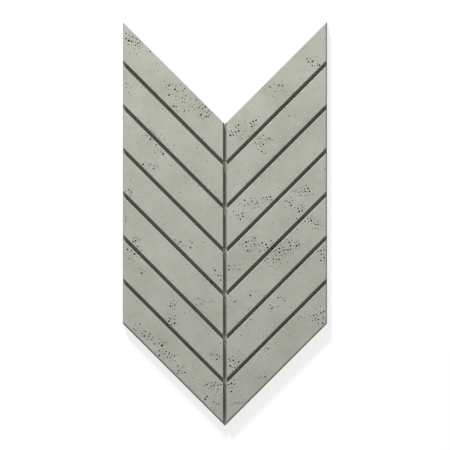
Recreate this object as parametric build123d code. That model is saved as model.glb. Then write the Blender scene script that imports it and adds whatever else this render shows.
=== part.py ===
from build123d import *
import math
import os

# Driving dimensions, in millimetres and degrees
panel_width = 600.0        # between the two upright sides
panel_thickness = 25.0     # back face to plank faces
plank_count = 7            # planks in each half, from the notch down to the tip
plank_width = 79.2         # square across one plank, edge to edge
plank_slope = 45.0         # rise of the planks from the middle out to the sides
groove_width = 11.0        # between the plank faces
groove_depth = 13.0
groove_wall_width = 1.0    # how far each groove wall leans in, from mouth to floor
side_foot_height = 4.0     # upright part of every side, where two panels butt
side_slope_width = 4.2     # how far the upright sides lean in above their foot
tip_slope_width = 6.0      # the same, at the two edges of the tip
notch_slope_width = 0.8    # the same, at the two edges of the notch
arris_radius = 1.2         # rounding of each edge on the face

# The panel lies on its back, with the middle of its length and width at the origin,
# the notch towards +Y and the tip towards -Y. Widths square across a plank grow by
# run_up when they are read up the middle line.
half_width = panel_width / 2
slope = math.tan(math.radians(plank_slope))
run_up = 1 / math.cos(math.radians(plank_slope))
planks_across = plank_count * plank_width + (plank_count - 1) * groove_width
side_length = (tip_slope_width + planks_across + notch_slope_width) * run_up
overall_length = side_length + half_width * slope
tip_y = -overall_length / 2
notch_y = tip_y + side_length


# Six corners of a chevron, with its sides, tip and notch moved in by the given widths
def chevron_corners(side_in, tip_in, notch_in):
    half = half_width - side_in
    tip = tip_y + tip_in * run_up
    notch = notch_y - notch_in * run_up
    rise = half * slope
    return [
        (0, tip),
        (half, tip + rise),
        (half, notch + rise),
        (0, notch),
        (-half, notch + rise),
        (-half, tip + rise),
    ]


# Flat-sided block between two such chevrons at two heights
def block_between(low_corners, low_z, high_corners, high_z):
    low = [Vector(x, y, low_z) for x, y in low_corners]
    high = [Vector(x, y, high_z) for x, y in high_corners]
    faces = [Face(Wire.make_polygon(low)), Face(Wire.make_polygon(high))]
    for here in range(len(low)):
        following = (here + 1) % len(low)
        faces.append(Face(Wire.make_polygon([low[here], low[following], high[following], high[here]])))
    return Solid(Shell(faces))


# Blank slab: an upright foot all round, then sides that lean in to the face for release
def slab():
    outline = chevron_corners(0, 0, 0)
    face = chevron_corners(side_slope_width, tip_slope_width, notch_slope_width)
    foot = block_between(outline, 0, outline, side_foot_height)
    blank = foot + block_between(outline, side_foot_height, face, panel_thickness)
    face_edges = blank.edges().group_by(Axis.Z)[-1]
    return fillet(face_edges, arris_radius)


# Cross-section of a groove, with its local X across the groove and its local Y out of the
# plank faces: rounded arrises, two sloping walls and a flat floor, closed just above the faces
def groove_section():
    half_mouth = groove_width / 2
    half_floor = half_mouth - groove_wall_width
    wall_angle = math.atan2(groove_depth, groove_wall_width)
    arris_reach = arris_radius * math.tan(wall_angle / 2)
    arris_outer_x = half_mouth + arris_reach
    arris_inner_x = half_mouth - arris_reach * math.cos(wall_angle)
    arris_inner_y = -arris_reach * math.sin(wall_angle)
    right_arris = TangentArc((arris_outer_x, 0), (arris_inner_x, arris_inner_y), tangent=(-1, 0))
    left_arris = TangentArc((-arris_outer_x, 0), (-arris_inner_x, arris_inner_y), tangent=(1, 0))
    walls_and_floor = Polyline(
        (arris_inner_x, arris_inner_y),
        (half_floor, -groove_depth),
        (-half_floor, -groove_depth),
        (-arris_inner_x, arris_inner_y),
    )
    above_faces = Polyline(
        (-arris_outer_x, 0),
        (-arris_outer_x, arris_radius),
        (arris_outer_x, arris_radius),
        (arris_outer_x, 0),
    )
    return make_face(right_arris + walls_and_floor + left_arris + above_faces)


# One V-shaped groove between two courses of planks, mitred on the middle line
def plank_groove(middle_y):
    reach = half_width + groove_width
    left_end = (-reach, middle_y + reach * slope, panel_thickness)
    middle = (0, middle_y, panel_thickness)
    right_end = (reach, middle_y + reach * slope, panel_thickness)
    section_plane = Plane(origin=left_end, x_dir=(slope, 1, 0), z_dir=(1, -slope, 0))
    path = Polyline(left_end, middle, right_end)
    return sweep(section_plane * groove_section(), path=path, transition=Transition.RIGHT)


# Straight groove down the middle, through the notch and the tip
def middle_groove():
    start = (0, tip_y - groove_width, panel_thickness)
    section_plane = Plane(origin=start, x_dir=(-1, 0, 0), z_dir=(0, 1, 0))
    return extrude(section_plane * groove_section(), side_length + 2 * groove_width)


def concrete_panel():
    panel = slab() - middle_groove()
    for course in range(1, plank_count):
        across = tip_slope_width + course * (plank_width + groove_width) - groove_width / 2
        panel -= plank_groove(tip_y + across * run_up)
    return panel


os.makedirs("parts", exist_ok=True)
export_step(concrete_panel(), "parts/concrete_panel.step")
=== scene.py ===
import math
import bpy
import numpy as np
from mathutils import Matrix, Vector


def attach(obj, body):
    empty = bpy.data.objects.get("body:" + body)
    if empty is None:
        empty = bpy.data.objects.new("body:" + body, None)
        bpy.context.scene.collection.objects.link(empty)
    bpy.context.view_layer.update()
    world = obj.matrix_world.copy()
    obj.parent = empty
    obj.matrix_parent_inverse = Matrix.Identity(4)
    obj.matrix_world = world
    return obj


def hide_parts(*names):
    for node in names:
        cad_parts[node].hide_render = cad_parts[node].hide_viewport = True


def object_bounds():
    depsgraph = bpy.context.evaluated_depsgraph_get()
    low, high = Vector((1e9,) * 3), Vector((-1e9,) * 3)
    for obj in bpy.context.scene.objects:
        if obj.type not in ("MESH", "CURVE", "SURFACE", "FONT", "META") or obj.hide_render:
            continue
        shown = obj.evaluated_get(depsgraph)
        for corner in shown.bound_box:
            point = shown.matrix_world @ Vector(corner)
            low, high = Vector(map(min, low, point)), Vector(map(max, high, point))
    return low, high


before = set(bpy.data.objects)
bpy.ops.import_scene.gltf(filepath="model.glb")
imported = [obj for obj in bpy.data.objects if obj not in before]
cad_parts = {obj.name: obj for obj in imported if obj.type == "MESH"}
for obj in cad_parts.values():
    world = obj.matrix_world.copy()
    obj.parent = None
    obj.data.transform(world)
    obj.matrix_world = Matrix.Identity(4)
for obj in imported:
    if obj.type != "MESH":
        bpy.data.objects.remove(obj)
cadLow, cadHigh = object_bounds()
slabSize = np.array(cadHigh - cadLow) * 1000  # shapes are worked out in millimetres
print("frame loaded, the slab is", np.round(slabSize, 1), "mm")

# The slab's form, as the mould gives it, in mm
slabForm = {
    "planksPerHalf": 7,
    "plankWidth": 79.2,        # square across
    "grooveWidth": 11.0,
    "grooveDepth": 13.0,
    "grooveWallWidth": 1.0,    # how far each groove wall leans in
    "sideWidth": 4.2,          # how far the upright sides lean in above their foot
    "tipWidth": 6.0,           # the same at the tip
    "notchWidth": 0.8,         # and at the notch
    "footHeight": 4.0,
    "arrisRadius": 1.2,
    "arrisSteps": 3,
    "supportGap": 0.4,         # flat strip beside each arris, which keeps the shading of the planks flat
    "cellSize": 4.2,           # mesh cell on a plank, square across
    "stepsFrom": 4,            # gaps between bends wider than this many cells are divided into cells
    "sharpAngle": 32,          # degrees; edges that turn further are shaded sharp
}

# What casting and handling did to it, and the shade painted into its grooves
slabWear = {
    "waveSize": 70.0,          # gentle waves in the face, with finer ones over them
    "fineWaves": 3,            # how many times smaller those are
    "waveShare": 0.75,         # share of the wide waves in the depth
    "waveDepth": 0.22,
    "waveSeeds": (1, 2),
    "nickSize": 9.0,           # chipped places along the arrises, with finer noise over them
    "fineNicks": 2.3,
    "nickShare": 0.6,
    "nickSeeds": (3, 4),
    "nickFrom": 0.72,          # the noise above this makes a nick
    "nickDepth": 1.4,
    "nickLevel": 0.25,         # depth under the face where a nick is deepest
    "nickReach": 1.2,          # how far it runs above and below that level
    "paintedGrooveShade": 0.46,       # painted shade in the grooves, standing in for the light that reaches them less
    "paintedShadeLeft": 0.1,          # share of the painted shade left where grooves cross and at the tip, where they are open
    "shadeFadeLength": 45.0,      # how far up from the tip the painted shade fades in
}

# Air holes, in mm from the slab's middle: the largest as (x, y, width), and patches of them as
# (x, y, half length, half width, turn in degrees, how many)
airHoles = {
    "seed": 20,
    "largest": [
        (-280, 535, 7.5), (-220, 505, 6.5), (-125, 370, 6.5), (-85, 365, 6), (-70, 320, 7), (-55, 315, 7),
        (90, 300, 7.5), (245, 475, 6), (235, 95, 6.5), (215, 45, 6.5), (50, 30, 6), (-130, -55, 7),
        (-30, -135, 6), (160, -70, 7.6), (185, -75, 7), (210, -65, 6.5), (75, -210, 6), (275, -280, 6.5),
        (285, -290, 6), (-185, -355, 7.8), (-40, -475, 6.5),
    ],
    "patches": [
        # left half, from the notch down
        (-265, 530, 35, 18, -40, 34), (-165, 400, 25, 20, -45, 12), (-120, 380, 30, 25, 0, 14),
        (-60, 325, 35, 15, -45, 30), (-130, 340, 45, 10, 0, 12), (-285, 400, 15, 20, 0, 5),
        (-205, 255, 25, 15, -20, 18), (-190, 210, 20, 20, 0, 10), (-220, 170, 22, 12, 0, 16),
        (-285, 90, 12, 12, 0, 8), (-290, 30, 8, 25, 0, 8), (-260, -50, 12, 6, 20, 12),
        (-265, -90, 30, 20, -30, 24), (-245, -135, 10, 15, 0, 6), (-110, -55, 35, 15, -10, 11),
        (-25, -150, 15, 25, 0, 8), (-155, -235, 15, 15, 0, 10), (-155, -285, 25, 10, 0, 14),
        (-60, -230, 25, 15, 0, 12), (-235, -320, 35, 15, -35, 22), (-195, -350, 20, 8, 0, 10),
        (-180, -385, 30, 15, -10, 34), (-130, -430, 15, 15, -30, 12), (-25, -385, 15, 12, 0, 8),
        (-30, -475, 30, 10, 0, 18), (-35, -510, 30, 20, 0, 16), (-40, -545, 10, 6, 30, 7),
        # right half
        (260, 475, 25, 20, 0, 12), (145, 390, 30, 20, 0, 15), (85, 300, 12, 15, 0, 12),
        (35, 270, 30, 20, 0, 26), (100, 245, 30, 15, 0, 24), (110, 215, 10, 15, 0, 8),
        (225, 95, 35, 15, 0, 20), (190, 65, 12, 15, 0, 14), (215, 45, 20, 8, 0, 10),
        (80, 60, 25, 12, 0, 20), (40, 25, 25, 12, 0, 16), (125, 70, 15, 10, 0, 10),
        (250, 5, 35, 15, -20, 26), (95, -65, 50, 22, 0, 56), (180, -65, 35, 22, 0, 40),
        (150, -110, 35, 25, 0, 32), (285, -95, 12, 20, 0, 10), (25, -130, 20, 8, 0, 8),
        (15, -225, 15, 12, 0, 10), (170, -215, 20, 12, 0, 12), (140, -250, 20, 20, 0, 8),
        (235, -275, 30, 10, 0, 12), (275, -270, 15, 30, 0, 22), (25, -410, 20, 15, 0, 15),
        (20, -475, 15, 15, 0, 12), (50, -520, 25, 10, 0, 12), (110, -450, 12, 5, 0, 8),
        (125, -360, 12, 10, 0, 6),
    ],
    "strays": 220,             # small ones spread over the whole face
    "inGrooves": 90,           # and over the groove floors
    "narrowest": 2.0,
    "widestInPatch": 6.8,
    "patchSpread": 1.1,        # how far a patch's holes reach, as a share of its half sizes
    "companionSpread": 1.6,    # the same for the narrow holes round it
    "companionShare": 0.45,    # how many of those there are, as a share of the patch's own
    "gathering": 0.6,          # a higher power draws them to the middle of the patch
    "crowding": 1.8,           # a higher power leaves more small holes than wide ones
    "widestInCell": 3.5,       # wider ones take a block of four cells
    "smallestCell": 2.0,       # no hole goes in a narrower cell
    "clearance": 0.12,         # between a rim and the edge of its cells
    "offCentre": 0.6,          # share of the room in its cells that a hole may move by
    # steps across and up, in mm, that a hole tries in turn until its cells are free
    "moves": [(0, 0), (4, 0), (-4, 0), (0, 6), (0, -6), (4, 6), (-4, -6), (4, -6), (-4, 6)],
    "longer": 0.8,             # the longest holes are longer than they are wide by this share
    "roundness": 1.5,          # a higher power leaves more of them round
    "unevenness": (0.11, 0.07),    # of the rim, with three and with five waves round it
    "evened": 1.09,            # brings an uneven hole back to its width
    "depthAngles": (55, 82),   # where a round void is cut by the face; under 90 it widens below the rim
    "circleDepths": (0, 0.3, 0.68),   # the circles below the rim, as shares of the arc down to the pole
    "darkening": 4,            # the painted shade in a hole is darkest from a depth of its width over this
    # grid points round a narrow hole, in cells from the middle of its own, and round a wide one, in cells
    # from the middle of its block
    "corners": {
        "narrow": [(0.5, -0.5), (0.5, 0.5), (-0.5, 0.5), (-0.5, -0.5)],
        "wide": [(1, -1), (1, 0), (1, 1), (0, 1), (-1, 1), (-1, 0), (-1, -1), (0, -1)],
    },
    "rimPoints": {"narrow": 12, "wide": 16},
}


# Value noise: random numbers on a square lattice, blended smoothly between the four round a point
def valueNoise(x, y, spacing, seed):
    size = 97
    lattice = np.random.default_rng(seed).random((size, size))
    column, row = x / spacing, y / spacing
    i, j = np.floor(column).astype(int), np.floor(row).astype(int)
    u, v = column - i, row - j
    u, v = u * u * (3 - 2 * u), v * v * (3 - 2 * v)
    near = lattice[i % size, j % size] * (1 - u) + lattice[(i + 1) % size, j % size] * u
    far = lattice[i % size, (j + 1) % size] * (1 - u) + lattice[(i + 1) % size, (j + 1) % size] * u
    return near * (1 - v) + far * v


# Leaning wall and its arris, from the bottom up: a straight line to the arris, which is an arc tangent to
# the line and to the face; gives places across, 0 where the wall starts, and depths under the face
def wallAndArris(wallWidth, depth):
    lean = math.atan2(depth, wallWidth)
    arcEnd = wallWidth + slabForm["arrisRadius"] * math.tan(lean / 2)
    turn = np.linspace(lean, 0, slabForm["arrisSteps"] + 1)
    places = [0, *(arcEnd - slabForm["arrisRadius"] * np.sin(turn)), arcEnd + slabForm["supportGap"]]
    depths = [depth, *(slabForm["arrisRadius"] * (1 - np.cos(turn))), 0]
    return np.array(places), np.array(depths)


# Side of the slab above its foot, with one more line where the groove floors run out
def sideProfile(wallWidth):
    places, depths = wallAndArris(wallWidth, sideRise)
    floorOut = wallWidth * (1 - slabForm["grooveDepth"] / sideRise)
    return np.insert(places, 1, floorOut), np.insert(depths, 1, slabForm["grooveDepth"])


diagonal = math.sqrt(2)        # the planks rise at 45 degrees, so a step up the middle is this much longer
halfWidth = slabSize[0] / 2
thickness = slabSize[2]
sideLength = slabSize[1] - halfWidth
tipY = -slabSize[1] / 2
sideRise = thickness - slabForm["footHeight"]
wallPlaces, grooveDepths = wallAndArris(slabForm["grooveWallWidth"], slabForm["grooveDepth"])
groovePlaces = wallPlaces + slabForm["grooveWidth"] / 2 - slabForm["grooveWallWidth"]
sidePlaces, sideDepths = sideProfile(slabForm["sideWidth"])
tipPlaces, tipDepths = sideProfile(slabForm["tipWidth"])
notchPlaces, notchDepths = sideProfile(slabForm["notchWidth"])
courses = np.arange(1, slabForm["planksPerHalf"])
grooveMiddles = courses * (slabForm["plankWidth"] + slabForm["grooveWidth"]) - slabForm["grooveWidth"] / 2
grooveMiddles = (slabForm["tipWidth"] + grooveMiddles) * diagonal    # up the middle line from the tip


# Lines where the profile bends, with even steps filled in where they are far apart
def withSteps(bends, size):
    gaps = np.diff(bends)
    wide = np.flatnonzero(gaps > slabForm["stepsFrom"] * size)
    steps = [np.linspace(bends[k], bends[k + 1], round(gaps[k] / size) + 1)[1:-1] for k in wide]
    return np.sort(np.concatenate([bends, *steps]))


# The grid: lines across the width, and lines up from the tip edges that bend up both ways at 45 degrees
def gridLines():
    right = np.concatenate([groovePlaces, halfWidth - sidePlaces[::-1]])
    lineX = withSteps(np.concatenate([-right[::-1], [0], right]), slabForm["cellSize"])
    bends = [tipPlaces * diagonal]
    for middle in grooveMiddles:
        bends += [middle - groovePlaces[::-1] * diagonal, [middle], middle + groovePlaces * diagonal]
    bends.append(sideLength - notchPlaces[::-1] * diagonal)
    return lineX, withSteps(np.concatenate(bends), slabForm["cellSize"] * diagonal)


# Depth under the face: the deeper of the groove's and the side's profile, each read at its own distance;
# and the part of a groove's depth that gets painted shade, less where grooves cross and towards the tip
def profileDrop(lineX, lineUp):
    toSide, toTip, toNotch = halfWidth - abs(lineX), lineUp / diagonal, (sideLength - lineUp) / diagonal
    toGroove = abs(lineUp[:, None] - grooveMiddles).min(1) / diagonal
    dropX = np.interp(toSide, sidePlaces, sideDepths)
    dropTip = np.interp(toTip, tipPlaces, tipDepths)
    dropNotch = np.interp(toNotch, notchPlaces, notchDepths)
    dropUp = np.maximum(dropTip, dropNotch)
    grooveX = np.interp(abs(lineX), groovePlaces, grooveDepths)
    grooveUp = np.interp(toGroove, groovePlaces, grooveDepths)
    deepest = np.maximum(np.maximum(dropX, grooveX)[:, None], np.maximum(dropUp, grooveUp)[None, :])
    crossing = np.minimum(grooveX[:, None], grooveUp[None, :])
    shadeFade = np.clip(lineUp / slabWear["shadeFadeLength"], slabWear["paintedShadeLeft"], 1)
    inGroove = np.maximum(grooveX[:, None] * shadeFade, grooveUp[None, :])
    return deepest, inGroove - (1 - slabWear["paintedShadeLeft"]) * crossing


# Two noises, the second finer than the first, mixed by the first one's share
def twoNoises(x, y, size, finer, share, seeds):
    return share * valueNoise(x, y, size, seeds[0]) + (1 - share) * valueNoise(x, y, size / finer, seeds[1])


# How far the face lies under the flat plane of the mould
def faceWave(x, y):
    return slabWear["waveDepth"] * twoNoises(
        x, y, slabWear["waveSize"], slabWear["fineWaves"], slabWear["waveShare"], slabWear["waveSeeds"])


# Nicks: noise above a level, deepest where it peaks, and only where the profile turns over an arris
def arrisNick(x, y, drop):
    noise = twoNoises(
        x, y, slabWear["nickSize"], slabWear["fineNicks"], slabWear["nickShare"], slabWear["nickSeeds"])
    peak = np.clip((noise - slabWear["nickFrom"]) / (1 - slabWear["nickFrom"]), 0, 1)
    onArris = np.clip(1 - abs(drop - slabWear["nickLevel"]) / slabWear["nickReach"], 0, 1) * (drop > 0)
    return slabWear["nickDepth"] * peak * onArris


# Chooses where each hole goes: wide ones take the block of four cells round the nearest crossing of grid
# lines, narrow ones a single cell, and a hole moves on a little where those cells aren't free; gives rows
# of (cell or crossing across, the same up, x, y, width) for each kind, and marks their cells as taken
def seatHoles(places, widths, lineX, lineUp, free):
    seats = {"narrow": [], "wide": []}
    for k in np.argsort(-widths, kind="stable"):
        reach = widths[k] / 2 + airHoles["clearance"]
        isWide = widths[k] > airHoles["widestInCell"]
        for moveX, moveUp in airHoles["moves"]:
            x = places[k, 0] + moveX
            up = places[k, 1] - abs(x) - tipY + moveUp
            if isWide:
                i, j = abs(lineX - x).argmin(), abs(lineUp - up).argmin()
                startI, startJ, span = i - 1, j - 1, 2
            else:
                i, j = np.searchsorted(lineX, x) - 1, np.searchsorted(lineUp, up) - 1
                startI, startJ, span = i, j, 1
            if min(startI, startJ) < 0 or startI + span > free.shape[0] or startJ + span > free.shape[1]:
                continue
            block = free[startI:startI + span, startJ:startJ + span]
            if not block.all() or lineX[startI] * lineX[startI + span] < 0:
                continue
            block[:] = False
            low = np.array([lineX[startI], lineUp[startJ]])
            high = np.array([lineX[startI + span], lineUp[startJ + span]])
            room = airHoles["offCentre"] * np.maximum(0, (high - low) / 2 - reach * np.array([1, diagonal]))
            seatX, seatUp = (low + high) / 2 + np.clip((x, up) - (low + high) / 2, -room, room)
            seat = (i, j, seatX, seatUp + abs(seatX) + tipY, widths[k])
            seats["wide" if isWide else "narrow"].append(seat)
            break
    return {kind: np.array(holes) for kind, holes in seats.items()}


# Scatters the holes: the largest, those of the patches with narrow ones round them, at random angles and
# distances in each patch's oval, the strays and those in the grooves; gives places and widths
def scatterHoles():
    rng = np.random.default_rng(airHoles["seed"])
    places = [np.array(airHoles["largest"])[:, :2]]
    widths = [np.array(airHoles["largest"])[:, 2]]

    def someWidths(count, widest):
        spread = rng.random(count) ** airHoles["crowding"]
        return airHoles["narrowest"] + (widest - airHoles["narrowest"]) * spread

    patchWide = (airHoles["patchSpread"], 1, airHoles["widestInPatch"])
    patchNarrow = (airHoles["companionSpread"], airHoles["companionShare"], airHoles["widestInCell"])
    for x, y, halfLong, halfWide, turn, count in airHoles["patches"]:
        c, s = math.cos(math.radians(turn)), math.sin(math.radians(turn))
        for spread, share, widest in (patchWide, patchNarrow):
            some = round(count * share)
            away = spread * rng.random(some) ** airHoles["gathering"]
            angle = rng.random(some) * 2 * math.pi
            along, aside = away * np.cos(angle) * halfLong, away * np.sin(angle) * halfWide
            places.append(np.stack([x + along * c - aside * s, y + along * s + aside * c], 1))
            widths.append(someWidths(some, widest))
    strayX = rng.uniform(-halfWidth, halfWidth, airHoles["strays"])
    strayUp = rng.uniform(0, sideLength, airHoles["strays"])
    grooveX = rng.uniform(-halfWidth, halfWidth, airHoles["inGrooves"])
    grooveUp = rng.choice(grooveMiddles, airHoles["inGrooves"])
    for x, up in ((strayX, strayUp), (grooveX, grooveUp)):
        places.append(np.stack([x, up + abs(x) + tipY], 1))
        widths.append(someWidths(len(x), airHoles["widestInCell"]))
    return np.concatenate(places), np.concatenate(widths)


# How a hole's rim points lie against the grid points round it, on the left (side -1) or right (side 1)
# half: each gap between two of those gets rim points in step with its angle, in directions that mix
# theirs; gives the number of the first rim point of each gap, and the mixes
def rimMixes(corners, side, pointCount):
    step = np.array(corners) * slabForm["cellSize"]
    toward = np.arctan2(step[:, 1] * diagonal + side * step[:, 0], step[:, 0])
    gap = np.mod(np.roll(toward, -1) - toward, 2 * math.pi)
    count = np.round(gap / (2 * math.pi) * pointCount).astype(int)
    start = np.concatenate([[0], np.cumsum(count)])
    mixes = np.zeros((pointCount, len(corners) + 1))
    for o in range(len(corners)):
        share = np.arange(count[o]) / count[o]
        mixes[start[o]:start[o + 1], o] = 1 - share
        mixes[start[o]:start[o + 1], o + 1] = share
    return start, mixes


# Directions from each hole's middle to its rim points, mixed from those to the grid points round it
def rimAngles(centre, corners, mixes):
    away = corners - centre[:, None, :]
    toward = np.arctan2(away[..., 1], away[..., 0])
    gap = np.mod(np.roll(toward, -1, 1) - toward, 2 * math.pi)
    unwound = np.concatenate([toward[:, :1], toward[:, :1] + np.cumsum(gap, 1)], 1)
    return unwound @ mixes.T


# One hole on each row: an uneven oval rim, then circles on the wall of a round void that the face cuts,
# at angles that run from the rim down to the pole; the void's radius is the rim's over the sine of the cut
def holeRings(centre, width, angle, rng):
    count = len(width)
    phase = rng.random((3, count, 1)) * 2 * math.pi
    stretch = 1 + airHoles["longer"] * rng.random((count, 1)) ** airHoles["roundness"]
    turned = angle - phase[0]
    oval = 1 / np.sqrt(np.cos(turned) ** 2 + (stretch * np.sin(turned)) ** 2)
    three, five = airHoles["unevenness"]
    uneven = 1 + three * np.cos(3 * angle + phase[1]) + five * np.cos(5 * angle + phase[2])
    rim = width[:, None] / 2 * oval * uneven / airHoles["evened"]
    low, high = np.radians(airHoles["depthAngles"])
    cut = low + (high - low) * rng.random((count, 1))
    void = rim.mean(1, keepdims=True) / np.sin(cut)
    rings, drops = [], []
    for share in airHoles["circleDepths"]:
        down = cut + (math.pi - cut) * share
        radius = rim * np.sin(down) / np.sin(cut)
        rings.append(centre[:, None, :] + np.stack([radius * np.cos(angle), radius * np.sin(angle)], 2))
        drops.append(np.broadcast_to(void * (np.cos(cut) - np.cos(down)), radius.shape))
    rings.append(centre[:, None, :])
    drops.append(void * (np.cos(cut) + 1))
    return np.concatenate(rings, 1), np.concatenate(drops, 1)


# Twice the area of a triangle, positive where its corners run anticlockwise
def doubleArea(a, b, c):
    ab, ac = b - a, c - a
    return ab[..., 0] * ac[..., 1] - ab[..., 1] * ac[..., 0]


# Collar of each hole, from the grid points round it to its rim: in each gap the first rim segments go to
# the first of its two grid points and the rest to the second, with the swap where the smallest triangle
# is largest; a hole's points are numbered with the grid's first, then its rim
def collarTriangles(around, rim, start):
    cornerCount, pointCount = around.shape[1], rim.shape[1]
    collar = []
    for o in range(cornerCount):
        following = (o + 1) % cornerCount
        segment = np.arange(start[o], start[o + 1])
        here, there = rim[:, segment], rim[:, (segment + 1) % pointCount]
        toFirst = doubleArea(around[:, None, o], there, here)
        toSecond = doubleArea(around[:, None, following], there, here)
        smallest = []
        for swap in range(len(segment) + 1):
            apex = rim[:, (start[o] + swap) % pointCount]
            between = doubleArea(around[:, o], around[:, following], apex)[:, None]
            smallest.append(np.concatenate([toFirst[:, :swap], toSecond[:, swap:], between], 1).min(1))
        swap = np.argmax(smallest, 0)[:, None]
        corner = np.where(np.arange(len(segment)) < swap, o, following)
        segmentNumbers = (corner, cornerCount + (segment + 1) % pointCount, cornerCount + segment)
        betweenNumbers = (o, following, cornerCount + (start[o] + swap) % pointCount)
        for numbers in (segmentNumbers, betweenNumbers):
            collar.append(np.stack(np.broadcast_arrays(*numbers), 2))
    return np.concatenate(collar, 1)


# Wall and bottom of a hole, with its points numbered after the grid's: ring after ring, then the pole
def wallTriangles(cornerCount, pointCount):
    ringCount = len(airHoles["circleDepths"])
    ring = lambda m, n: cornerCount + m * pointCount + n % pointCount
    triangles = []
    for m in range(ringCount - 1):
        for n in range(pointCount):
            triangles.append((ring(m, n), ring(m, n + 1), ring(m + 1, n + 1)))
            triangles.append((ring(m, n), ring(m + 1, n + 1), ring(m + 1, n)))
    pole = cornerCount + ringCount * pointCount
    triangles += [(ring(ringCount - 1, n), ring(ringCount - 1, n + 1), pole) for n in range(pointCount)]
    return np.array(triangles)


# The whole casting: a grid on the face, holes sewn into its cells, upright feet and a flat back
def buildSlab():
    lineX, lineUp = gridLines()
    drop, paintedShadeDrop = profileDrop(lineX, lineUp)
    gridX = np.repeat(lineX[:, None], len(lineUp), 1)
    gridY = tipY + lineUp[None, :] + abs(gridX)
    onFoot = np.isclose(drop, sideRise)
    gridZ = thickness - drop - np.where(onFoot, 0, faceWave(gridX, gridY) + arrisNick(gridX, gridY, drop))
    number = np.arange(drop.size).reshape(drop.shape)

    # Holes go only in cells that are flat and not too narrow
    wideX, wideUp = np.diff(lineX) > airHoles["smallestCell"], np.diff(lineUp) > airHoles["smallestCell"]
    level = (drop[:-1, :-1] == drop[1:, 1:]) & (drop[:-1, 1:] == drop[1:, :-1])
    level &= drop[:-1, :-1] == drop[:-1, 1:]
    free = level & wideX[:, None] & wideUp[None, :]
    beforeHoles = free.copy()
    places, widths = scatterHoles()
    seats = seatHoles(places, widths, lineX, lineUp, free)
    taken = beforeHoles & ~free
    rng = np.random.default_rng(airHoles["seed"] + 1)

    # Each hole's own points follow the grid's; its rim takes on the waves of the face and the painted shade
    # of its floor, and painted shade darkens the hole with depth
    vertices = [np.stack([gridX, gridY, gridZ], 2).reshape(-1, 3)]
    # painted shade in the grooves, darker where they are deeper
    gridPaintedShade = slabWear["paintedGrooveShade"] * np.clip(paintedShadeDrop / slabForm["grooveDepth"], 0, 1)
    paintedShade = [gridPaintedShade.reshape(-1)]
    triangles = []
    firstFree = drop.size
    for kind, side in (("narrow", -1), ("narrow", 1), ("wide", -1), ("wide", 1)):
        corners, pointCount = airHoles["corners"][kind], airHoles["rimPoints"][kind]
        some = seats[kind][np.sign(seats[kind][:, 2]) == side]
        i, j = some[:, 0].astype(int), some[:, 1].astype(int)
        offset = np.ceil(corners).astype(int)
        outer = number[i[:, None] + offset[:, 0], j[:, None] + offset[:, 1]]
        outerXY = vertices[0][outer][..., :2]
        start, mixes = rimMixes(corners, side, pointCount)
        angle = rimAngles(some[:, 2:4], outerXY, mixes)
        ringXY, ringDrop = holeRings(some[:, 2:4], some[:, 4], angle, rng)
        base = thickness - faceWave(ringXY[..., 0], ringXY[..., 1]) - drop[i, j][:, None]
        vertices.append(np.dstack([ringXY, base - ringDrop]).reshape(-1, 3))
        holeShade = np.clip(ringDrop / some[:, 4:5] * airHoles["darkening"], 0, 1)
        paintedShade.append(np.maximum(holeShade, gridPaintedShade[i, j][:, None]).reshape(-1))

        ringTotal = ringXY.shape[1]
        inner = firstFree + np.arange(len(some))[:, None] * ringTotal + np.arange(ringTotal)
        collar = collarTriangles(outerXY, ringXY[:, :pointCount], start)
        wall = wallTriangles(len(corners), pointCount)
        pattern = np.concatenate([collar, np.broadcast_to(wall, (len(some), *wall.shape))], 1)
        numbers = np.concatenate([outer, inner], 1)
        triangles.append(numbers[np.arange(len(some))[:, None, None], pattern].reshape(-1, 3))
        firstFree += len(some) * ringTotal

    # The cells without a hole, each split along its higher diagonal, as at the corner of a mitre
    a, b, c, d = number[:-1, :-1], number[1:, :-1], number[1:, 1:], number[:-1, 1:]
    alongAC = gridZ[:-1, :-1] + gridZ[1:, 1:] >= gridZ[1:, :-1] + gridZ[:-1, 1:]
    first = np.where(alongAC[..., None], np.stack([a, b, c], 2), np.stack([a, b, d], 2))
    second = np.where(alongAC[..., None], np.stack([a, c, d], 2), np.stack([b, c, d], 2))
    triangles += [first[~taken], second[~taken]]

    # The upright feet, from the grid's outermost points straight down, all round from the left corner
    rim = np.concatenate([number[:, 0], number[-1, 1:], number[-2::-1, -1], number[0, -2:0:-1]])
    foot = firstFree + np.arange(len(rim))
    vertices.append(np.concatenate([vertices[0][rim][:, :2], np.zeros((len(rim), 1))], 1))
    paintedShade.append(np.zeros(len(rim)))
    nextRim, nextFoot = np.roll(rim, -1), np.roll(foot, -1)
    triangles += [np.stack([foot, nextFoot, nextRim], 1), np.stack([foot, nextRim, rim], 1)]

    # The flat back, as two faces that meet on the line from the tip to the notch
    tip = len(lineX) // 2
    notch = len(lineX) - 1 + len(lineUp) - 1 + tip
    rightBack = foot[tip:notch + 1][::-1]
    leftBack = np.concatenate([foot[notch:], foot[:tip + 1]])[::-1]

    # Points that no face uses, in the middle of the wide holes' blocks, are left out
    vertices, paintedShade, triangles = np.concatenate(vertices), np.concatenate(paintedShade), np.concatenate(triangles)
    used = np.unique(np.concatenate([triangles.ravel(), foot]))
    renumber = np.full(len(vertices), -1)
    renumber[used] = np.arange(len(used))
    faces = renumber[triangles].tolist() + [renumber[rightBack].tolist(), renumber[leftBack].tolist()]
    mesh = bpy.data.meshes.new("castSlab")
    mesh.from_pydata(vertices[used] * 0.001, [], faces)    # to metres
    attribute = mesh.attributes.new("paintedShade", "FLOAT", "POINT")
    attribute.data.foreach_set("value", paintedShade[used].astype(np.float32))
    mesh.shade_smooth()
    mesh.set_sharp_from_angle(angle=math.radians(slabForm["sharpAngle"]))
    slab = bpy.data.objects.new("castSlab", mesh)
    bpy.context.scene.collection.objects.link(slab)
    print("slab:", len(seats["narrow"]), "narrow and", len(seats["wide"]), "wide air holes,",
          len(triangles), "triangles, valid mesh:", not mesh.validate())
    return slab


slab = buildSlab()
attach(slab, "root")
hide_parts("concrete_panel")


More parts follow.
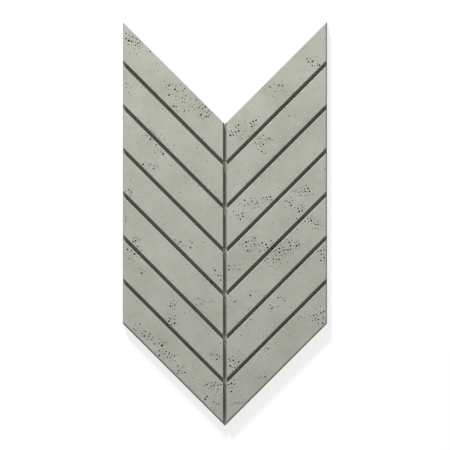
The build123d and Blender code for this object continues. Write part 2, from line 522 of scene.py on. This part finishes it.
# sRGB hex to the linear values that the shaders take
def fromHex(code):
    parts = np.array([int(code[k:k + 2], 16) for k in (1, 3, 5)]) / 255
    linear = np.where(parts <= 0.04045, parts / 12.92, ((parts + 0.055) / 1.055) ** 2.4)
    return (*linear.tolist(), 1)


# Adds one node with its settings, and its inputs as values or links
def addNode(tree, kind, inputs=None, **settings):
    node = tree.nodes.new(kind)
    for name, value in settings.items():
        setattr(node, name, value)
    for socket, value in (inputs or {}).items():
        if isinstance(value, bpy.types.NodeSocket):
            tree.links.new(value, node.inputs[socket])
        else:
            node.inputs[socket].default_value = value
    return node


# Material with an empty node tree
def newMaterial(name):
    material = bpy.data.materials.new(name)
    material.use_nodes = True
    material.node_tree.nodes.clear()
    return material, material.node_tree


# Grey Portland cement concrete cast against a smooth form: a matt, slightly green-grey paste that is cloudy
# where it cured unevenly, with sand showing faintly;
# pinholes too small for the mesh are painted dark for the shade in them, and shade is painted into the
# grooves and air holes
castConcrete = {
    "paste": "#B0B2A7",
    "damp": "#A0A296",
    # colour of the painted shade in the grooves, the air holes and the pinholes
    "paintedShadeColour": "#363631",
    "dampPatterns": [          # as (size in mm, detail, roughness, share in the dampness)
        (75.0, 2.0, 0.5, 0.55),    # clouds
        (16.0, 3.0, 0.55, 0.3),    # mottle
        (2.6, 2.0, 0.6, 0.25),     # sand, which is about 1 mm, drawn coarser so that it shows
    ],
    "dampFrom": 0.38,          # the sum of the patterns where the paste starts to darken
    "dampTo": 0.72,            # and where it is as dark as the damp colour
    "pinholeSpacing": 3.6,     # mm
    "pinholeWidth": 1.6,       # of the widest, with soft edges
    "pinholeFrom": 0.4,        # the share of cells that have hardly any
    "narrowestReach": 0.001,   # theirs, as a share of the spacing
    "pinholeDepth": 0.8,       # against the height of the sand
    "bumpStrength": 0.35,
    "bumpHeight": 0.0004,      # metres
    "roughness": 0.88,
    "ior": 1.5,
    "patternPlace": (0.53, 0.67, 0.25),    # keeps the slab on one side of the patterns' zero planes
}


# Dampness is the three noises added up by their shares; it mixes paste and damp, then the mesh's attribute
# of painted shade and the pinholes mix in the painted shade colour;
# a pinhole fades out from the middle of its Voronoi cell, and sand and pinholes make the bump
def makeConcrete():
    material, tree = newMaterial("cast concrete")
    perMetre = lambda size: 1000 / size
    paintedShadeColour = fromHex(castConcrete["paintedShadeColour"])
    coordinates = addNode(tree, "ShaderNodeTexCoord").outputs["Object"]
    placed = addNode(tree, "ShaderNodeMapping", {
        "Vector": coordinates, "Location": castConcrete["patternPlace"]}).outputs[0]

    dampness = 0.0
    for size, detail, roughness, share in castConcrete["dampPatterns"]:
        noise = addNode(tree, "ShaderNodeTexNoise", {
            "Vector": placed,
            "Scale": perMetre(size),
            "Detail": detail,
            "Roughness": roughness,
        }).outputs["Fac"]
        dampness = addNode(tree, "ShaderNodeMath", {
            0: noise, 1: share, 2: dampness}, operation="MULTIPLY_ADD").outputs[0]
    sand = noise    # the last of them
    dampness = addNode(tree, "ShaderNodeMapRange", {
        "Value": dampness,
        "From Min": castConcrete["dampFrom"],
        "From Max": castConcrete["dampTo"],
    }).outputs[0]
    colour = addNode(tree, "ShaderNodeMix", {
        0: dampness,
        6: fromHex(castConcrete["paste"]),
        7: fromHex(castConcrete["damp"]),
    }, data_type="RGBA").outputs[2]
    # painted shade in the grooves and air holes, from the mesh's attribute
    paintedShade = addNode(tree, "ShaderNodeAttribute", attribute_name="paintedShade").outputs["Fac"]
    colour = addNode(tree, "ShaderNodeMix", {
        0: paintedShade, 6: colour, 7: paintedShadeColour}, data_type="RGBA").outputs[2]

    cells = addNode(tree, "ShaderNodeTexVoronoi", {
        "Vector": placed, "Scale": perMetre(castConcrete["pinholeSpacing"])}).outputs
    chance = addNode(tree, "ShaderNodeSeparateColor", {0: cells["Color"]}).outputs[0]
    reach = addNode(tree, "ShaderNodeMapRange", {
        "Value": chance,
        "From Min": castConcrete["pinholeFrom"],
        "From Max": 1.0,
        "To Min": castConcrete["narrowestReach"],
        "To Max": castConcrete["pinholeWidth"] / 2 / castConcrete["pinholeSpacing"],
    }).outputs[0]
    pinhole = addNode(tree, "ShaderNodeMapRange", {
        "Value": cells["Distance"],
        "From Min": 0.0,
        "From Max": reach,
        "To Min": 1.0,
        "To Max": 0.0,
    }, interpolation_type="SMOOTHSTEP").outputs[0]
    # pinholes painted dark, as the shade in holes too small for the mesh
    colour = addNode(tree, "ShaderNodeMix", {
        0: pinhole, 6: colour, 7: paintedShadeColour}, data_type="RGBA").outputs[2]

    height = addNode(tree, "ShaderNodeMath", {
        0: pinhole,
        1: -castConcrete["pinholeDepth"],
        2: sand,
    }, operation="MULTIPLY_ADD").outputs[0]
    bump = addNode(tree, "ShaderNodeBump", {
        "Height": height,
        "Strength": castConcrete["bumpStrength"],
        "Distance": castConcrete["bumpHeight"],
    }).outputs[0]
    shader = addNode(tree, "ShaderNodeBsdfPrincipled", {
        "Base Color": colour,
        "Roughness": castConcrete["roughness"],
        "IOR": castConcrete["ior"],
        "Normal": bump,
    })
    addNode(tree, "ShaderNodeOutputMaterial", {"Surface": shader.outputs[0]})
    return material


slab.data.materials.append(makeConcrete())
print("concrete made")

# Plain pale floor, which shows white to the camera and keeps the slab's shadow, in metres, with a soft lamp
stage = {
    "floorSize": 60.0,
    "floorGap": 0.0002,        # under the slab's back
    "floorColour": "#959595",
    "floorGlow": 0.75,         # added to what the lamp gives where it is seen
    "fill": 0.40,              # strength of the white world on the slab
    "lampPlace": (-1.48, 4.95, 2.41),
    "lampSize": 0.8,
    "lampPower": 470.0,
}


# 1 for a ray from the camera or from gloss or glass, which show the background, and 0 for one that lights
def isSeen(tree):
    ray = addNode(tree, "ShaderNodeLightPath").outputs
    seen = addNode(tree, "ShaderNodeMath", {
        0: ray["Is Camera Ray"], 1: ray["Is Glossy Ray"]}, operation="MAXIMUM").outputs[0]
    return addNode(tree, "ShaderNodeMath", {
        0: seen, 1: ray["Is Transmission Ray"]}, operation="MAXIMUM").outputs[0]


# A flat square floor round the origin, a plain white world and one square lamp turned to the origin
def makeStage():
    half, z = stage["floorSize"] / 2, -stage["floorGap"]
    mesh = bpy.data.meshes.new("floor")
    corners = [(-half, -half, z), (half, -half, z), (half, half, z), (-half, half, z)]
    mesh.from_pydata(corners, [], [(0, 1, 2, 3)])
    floor = bpy.data.objects.new("floor", mesh)
    bpy.context.scene.collection.objects.link(floor)
    material, tree = newMaterial("studio floor")
    glow = addNode(tree, "ShaderNodeMath", {
        0: isSeen(tree), 1: stage["floorGlow"]}, operation="MULTIPLY").outputs[0]
    matt = addNode(tree, "ShaderNodeBsdfDiffuse", {"Color": fromHex(stage["floorColour"])}).outputs[0]
    light = addNode(tree, "ShaderNodeEmission", {"Strength": glow}).outputs[0]
    both = addNode(tree, "ShaderNodeAddShader", {0: matt, 1: light}).outputs[0]
    addNode(tree, "ShaderNodeOutputMaterial", {"Surface": both})
    mesh.materials.append(material)

    world = bpy.data.worlds.new("studio")
    bpy.context.scene.world = world
    world.use_nodes = True
    tree = world.node_tree
    tree.nodes.clear()
    strength = addNode(tree, "ShaderNodeMapRange", {
        "Value": isSeen(tree), "To Min": stage["fill"], "To Max": 1.0}).outputs[0]
    background = addNode(tree, "ShaderNodeBackground", {
        "Color": (1, 1, 1, 1), "Strength": strength}).outputs[0]
    addNode(tree, "ShaderNodeOutputWorld", {"Surface": background})

    lamp = bpy.data.lights.new("key", "AREA")
    lamp.shape, lamp.size, lamp.energy = "SQUARE", stage["lampSize"], stage["lampPower"]
    key = bpy.data.objects.new("key", lamp)
    bpy.context.scene.collection.objects.link(key)
    key.location = stage["lampPlace"]
    key.rotation_euler = (-key.location).to_track_quat("-Z", "Y").to_euler()
    key.visible_camera = False


makeStage()

# Camera straight over the slab, as the photograph looks squarely at its face, in metres
photo = {
    "camera": (0.0003, -0.0035, 5.5),
    "frameWidth": 1.3233,      # of the floor that the frame takes in
    "sensorWidth": 36,         # mm
    "clipEnd": 100,
}
lens = bpy.data.cameras.new("camera")
lens.sensor_width = photo["sensorWidth"]
lens.lens = lens.sensor_width * photo["camera"][2] / photo["frameWidth"]
lens.clip_end = photo["clipEnd"]
camera = bpy.data.objects.new("camera", lens)
camera.location = photo["camera"]
bpy.context.scene.collection.objects.link(camera)
bpy.context.scene.camera = camera
bpy.context.scene.view_settings.view_transform = "Standard"
print("stage, lamp and camera placed")
